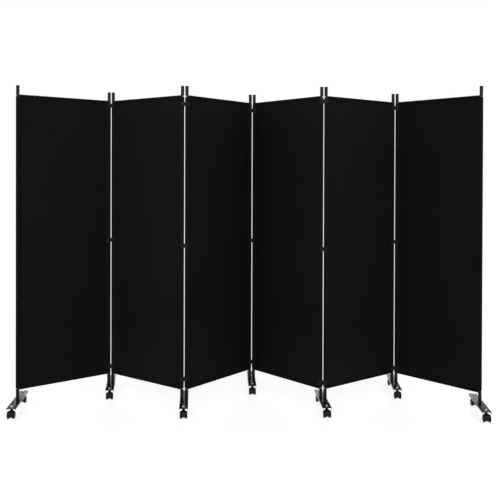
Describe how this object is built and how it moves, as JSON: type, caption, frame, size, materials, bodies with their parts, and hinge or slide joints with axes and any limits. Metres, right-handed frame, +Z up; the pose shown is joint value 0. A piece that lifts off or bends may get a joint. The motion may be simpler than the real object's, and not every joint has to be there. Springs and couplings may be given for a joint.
{
  "type": "portable room divider",
  "caption": "Folding room divider of stretched black cloth panels between steel posts, joined by hinge clips on wheeled foot bars.",
  "frame": {"origin": "on the floor, at the middle of the standing screen's plan box", "axes": "+X along the screen to the right seen from the front, +Y to the back, +Z up"},
  "size_m": [2.6349, 0.8289, 1.803],
  "materials": {
    "cloth": "matte woven polyester",
    "frame_steel": "black semi-gloss powder coat",
    "foot_steel": "black gloss enamel",
    "clip_plastic": "black moulded nylon",
    "caster_plastic": "black moulded nylon",
    "wheel_plastic": "hard black nylon"
  },
  "bodies": {
    "foot_1": {"foot_bar_1": "foot_steel"},
    "foot_2": {"foot_bar_2": "foot_steel", "hinge_clips_2": "clip_plastic"},
    "foot_3": {"foot_bar_3": "foot_steel", "hinge_clips_3": "clip_plastic"},
    "foot_4": {"foot_bar_4": "foot_steel", "hinge_clips_4": "clip_plastic"},
    "foot_5": {"foot_bar_5": "foot_steel", "hinge_clips_5": "clip_plastic"},
    "foot_6": {"foot_bar_6": "foot_steel", "hinge_clips_6": "clip_plastic"},
    "foot_7": {"foot_bar_7": "foot_steel"},
    "panel_1": {"posts_1": "frame_steel", "rails_1": "frame_steel", "cloth_1": "cloth"},
    "panel_2": {"posts_2": "frame_steel", "rails_2": "frame_steel", "cloth_2": "cloth"},
    "panel_3": {"posts_3": "frame_steel", "rails_3": "frame_steel", "cloth_3": "cloth"},
    "panel_4": {"posts_4": "frame_steel", "rails_4": "frame_steel", "cloth_4": "cloth"},
    "panel_5": {"posts_5": "frame_steel", "rails_5": "frame_steel", "cloth_5": "cloth"},
    "panel_6": {"posts_6": "frame_steel", "rails_6": "frame_steel", "cloth_6": "cloth"},
    "caster_front_1": {"caster_housing_front_1": "caster_plastic"},
    "wheels_front_1": {"caster_wheels_front_1": "wheel_plastic"},
    "caster_rear_1": {"caster_housing_rear_1": "caster_plastic"},
    "wheels_rear_1": {"caster_wheels_rear_1": "wheel_plastic"},
    "caster_front_2": {"caster_housing_front_2": "caster_plastic"},
    "wheels_front_2": {"caster_wheels_front_2": "wheel_plastic"},
    "caster_rear_2": {"caster_housing_rear_2": "caster_plastic"},
    "wheels_rear_2": {"caster_wheels_rear_2": "wheel_plastic"},
    "caster_front_3": {"caster_housing_front_3": "caster_plastic"},
    "wheels_front_3": {"caster_wheels_front_3": "wheel_plastic"},
    "caster_rear_3": {"caster_housing_rear_3": "caster_plastic"},
    "wheels_rear_3": {"caster_wheels_rear_3": "wheel_plastic"},
    "caster_front_4": {"caster_housing_front_4": "caster_plastic"},
    "wheels_front_4": {"caster_wheels_front_4": "wheel_plastic"},
    "caster_rear_4": {"caster_housing_rear_4": "caster_plastic"},
    "wheels_rear_4": {"caster_wheels_rear_4": "wheel_plastic"},
    "caster_front_5": {"caster_housing_front_5": "caster_plastic"},
    "wheels_front_5": {"caster_wheels_front_5": "wheel_plastic"},
    "caster_rear_5": {"caster_housing_rear_5": "caster_plastic"},
    "wheels_rear_5": {"caster_wheels_rear_5": "wheel_plastic"},
    "caster_front_6": {"caster_housing_front_6": "caster_plastic"},
    "wheels_front_6": {"caster_wheels_front_6": "wheel_plastic"},
    "caster_rear_6": {"caster_housing_rear_6": "caster_plastic"},
    "wheels_rear_6": {"caster_wheels_rear_6": "wheel_plastic"},
    "caster_front_7": {"caster_housing_front_7": "caster_plastic"},
    "wheels_front_7": {"caster_wheels_front_7": "wheel_plastic"},
    "caster_rear_7": {"caster_housing_rear_7": "caster_plastic"},
    "wheels_rear_7": {"caster_wheels_rear_7": "wheel_plastic"}
  },
  "joints": [
    {"name": "fold_foot_4_panel_3", "type": "hinge", "parent": "foot_4", "child": "panel_3", "pos_m": [0.00915, 0.23983, 0.058], "axis": [0, 0, 1], "range_deg": [-139, 41]},
    {"name": "fold_panel_3_foot_3", "type": "hinge", "parent": "panel_3", "child": "foot_3", "pos_m": [-0.34327, -0.19537, 0.058], "axis": [0, 0, -1], "range_deg": [-137, 43]},
    {"name": "fold_foot_3_panel_2", "type": "hinge", "parent": "foot_3", "child": "panel_2", "pos_m": [-0.36771, -0.19708, 0.058], "axis": [0, 0, -1], "range_deg": [-131, 49]},
    {"name": "fold_panel_2_foot_2", "type": "hinge", "parent": "panel_2", "child": "foot_2", "pos_m": [-0.81494, 0.13994, 0.058], "axis": [0, 0, 1], "range_deg": [-135, 45]},
    {"name": "fold_foot_2_panel_1", "type": "hinge", "parent": "foot_2", "child": "panel_1", "pos_m": [-0.8392, 0.13653, 0.058], "axis": [0, 0, 1], "range_deg": [-118.5, 58.5]},
    {"name": "fold_panel_1_foot_1", "type": "hinge", "parent": "panel_1", "child": "foot_1", "pos_m": [-1.28049, -0.20824, 0.058], "axis": [0, 0, -1], "range_deg": [-121.5, 55.5]},
    {"name": "fold_foot_4_panel_4", "type": "hinge", "parent": "foot_4", "child": "panel_4", "pos_m": [0.03364, 0.24069, 0.058], "axis": [0, 0, -1], "range_deg": [-140, 40]},
    {"name": "fold_panel_4_foot_5", "type": "hinge", "parent": "panel_4", "child": "foot_5", "pos_m": [0.40835, -0.17547, 0.058], "axis": [0, 0, 1], "range_deg": [-141, 39]},
    {"name": "fold_foot_5_panel_5", "type": "hinge", "parent": "foot_5", "child": "panel_5", "pos_m": [0.43282, -0.17419, 0.058], "axis": [0, 0, 1], "range_deg": [-125, 55]},
    {"name": "fold_panel_5_foot_6", "type": "hinge", "parent": "panel_5", "child": "foot_6", "pos_m": [0.8741, 0.17058, 0.058], "axis": [0, 0, -1], "range_deg": [-131, 49]},
    {"name": "fold_foot_6_panel_6", "type": "hinge", "parent": "foot_6", "child": "panel_6", "pos_m": [0.89857, 0.1693, 0.058], "axis": [0, 0, -1], "range_deg": [-132.5, 44.5]},
    {"name": "fold_panel_6_foot_7", "type": "hinge", "parent": "panel_6", "child": "foot_7", "pos_m": [1.28049, -0.24026, 0.058], "axis": [0, 0, 1], "range_deg": [-131.5, 45.5]},
    {"name": "swivel_front_1", "type": "hinge", "parent": "foot_1", "child": "caster_front_1", "pos_m": [-1.26829, -0.34771, 0.02], "axis": [0, 0, 1], "continuous": true},
    {"name": "roll_front_1", "type": "hinge", "parent": "caster_front_1", "child": "wheels_front_1", "pos_m": [-1.26707, -0.36166, 0.02], "axis": [0.9962, 0.0872, 0], "continuous": true},
    {"name": "swivel_rear_1", "type": "hinge", "parent": "foot_1", "child": "caster_rear_1", "pos_m": [-1.29269, -0.06877, 0.02], "axis": [0, 0, 1], "continuous": true},
    {"name": "roll_rear_1", "type": "hinge", "parent": "caster_rear_1", "child": "wheels_rear_1", "pos_m": [-1.29147, -0.08272, 0.02], "axis": [0.9962, 0.0872, 0], "continuous": true},
    {"name": "swivel_front_2", "type": "hinge", "parent": "foot_2", "child": "caster_front_2", "pos_m": [-0.80759, -0.0004, 0.02], "axis": [0, 0, 1], "continuous": true},
    {"name": "roll_front_2", "type": "hinge", "parent": "caster_front_2", "child": "wheels_front_2", "pos_m": [-0.80564, -0.01427, 0.02], "axis": [0.9903, 0.1392, 0], "continuous": true},
    {"name": "swivel_rear_2", "type": "hinge", "parent": "foot_2", "child": "caster_rear_2", "pos_m": [-0.84656, 0.27687, 0.02], "axis": [0, 0, 1], "continuous": true},
    {"name": "roll_rear_2", "type": "hinge", "parent": "caster_rear_2", "child": "wheels_rear_2", "pos_m": [-0.84461, 0.26301, 0.02], "axis": [0.9903, 0.1392, 0], "continuous": true},
    {"name": "swivel_front_3", "type": "hinge", "parent": "foot_3", "child": "caster_front_3", "pos_m": [-0.34572, -0.33588, 0.02], "axis": [0, 0, 1], "continuous": true},
    {"name": "roll_front_3", "type": "hinge", "parent": "caster_front_3", "child": "wheels_front_3", "pos_m": [-0.34474, -0.34985, 0.02], "axis": [0.9976, 0.0698, 0], "continuous": true},
    {"name": "swivel_rear_3", "type": "hinge", "parent": "foot_3", "child": "caster_rear_3", "pos_m": [-0.36525, -0.05656, 0.02], "axis": [0, 0, 1], "continuous": true},
    {"name": "roll_rear_3", "type": "hinge", "parent": "caster_rear_3", "child": "wheels_rear_3", "pos_m": [-0.36428, -0.07053, 0.02], "axis": [0.9976, 0.0698, 0], "continuous": true},
    {"name": "swivel_front_4", "type": "hinge", "parent": "foot_4", "child": "caster_front_4", "pos_m": [0.02628, 0.10035, 0.02], "axis": [0, 0, 1], "continuous": true},
    {"name": "roll_front_4", "type": "hinge", "parent": "caster_front_4", "child": "wheels_front_4", "pos_m": [0.02677, 0.08636, 0.02], "axis": [0.9994, 0.0349, 0], "continuous": true},
    {"name": "swivel_rear_4", "type": "hinge", "parent": "foot_4", "child": "caster_rear_4", "pos_m": [0.01651, 0.38018, 0.02], "axis": [0, 0, 1], "continuous": true},
    {"name": "roll_rear_4", "type": "hinge", "parent": "caster_rear_4", "child": "wheels_rear_4", "pos_m": [0.017, 0.36618, 0.02], "axis": [0.9994, 0.0349, 0], "continuous": true},
    {"name": "swivel_front_5", "type": "hinge", "parent": "foot_5", "child": "caster_front_5", "pos_m": [0.42791, -0.31464, 0.02], "axis": [0, 0, 1], "continuous": true},
    {"name": "roll_front_5", "type": "hinge", "parent": "caster_front_5", "child": "wheels_front_5", "pos_m": [0.42864, -0.32862, 0.02], "axis": [0.9986, 0.0523, 0], "continuous": true},
    {"name": "swivel_rear_5", "type": "hinge", "parent": "foot_5", "child": "caster_rear_5", "pos_m": [0.41326, -0.03502, 0.02], "axis": [0, 0, 1], "continuous": true},
    {"name": "roll_rear_5", "type": "hinge", "parent": "caster_rear_5", "child": "wheels_rear_5", "pos_m": [0.41399, -0.049, 0.02], "axis": [0.9986, 0.0523, 0], "continuous": true},
    {"name": "swivel_front_6", "type": "hinge", "parent": "foot_6", "child": "caster_front_6", "pos_m": [0.87901, 0.03013, 0.02], "axis": [0, 0, 1], "continuous": true},
    {"name": "roll_front_6", "type": "hinge", "parent": "caster_front_6", "child": "wheels_front_6", "pos_m": [0.87828, 0.01615, 0.02], "axis": [0.9986, -0.0523, 0], "continuous": true},
    {"name": "swivel_rear_6", "type": "hinge", "parent": "foot_6", "child": "caster_rear_6", "pos_m": [0.89366, 0.30975, 0.02], "axis": [0, 0, 1], "continuous": true},
    {"name": "roll_rear_6", "type": "hinge", "parent": "caster_rear_6", "child": "wheels_rear_6", "pos_m": [0.89293, 0.29577, 0.02], "axis": [0.9986, -0.0523, 0], "continuous": true},
    {"name": "swivel_front_7", "type": "hinge", "parent": "foot_7", "child": "caster_front_7", "pos_m": [1.27072, -0.37992, 0.02], "axis": [0, 0, 1], "continuous": true},
    {"name": "roll_front_7", "type": "hinge", "parent": "caster_front_7", "child": "wheels_front_7", "pos_m": [1.26975, -0.39389, 0.02], "axis": [0.9976, -0.0698, 0], "continuous": true},
    {"name": "swivel_rear_7", "type": "hinge", "parent": "foot_7", "child": "caster_rear_7", "pos_m": [1.29026, -0.1006, 0.02], "axis": [0, 0, 1], "continuous": true},
    {"name": "roll_rear_7", "type": "hinge", "parent": "caster_rear_7", "child": "wheels_rear_7", "pos_m": [1.28928, -0.11457, 0.02], "axis": [0.9976, -0.0698, 0], "continuous": true}
  ]
}
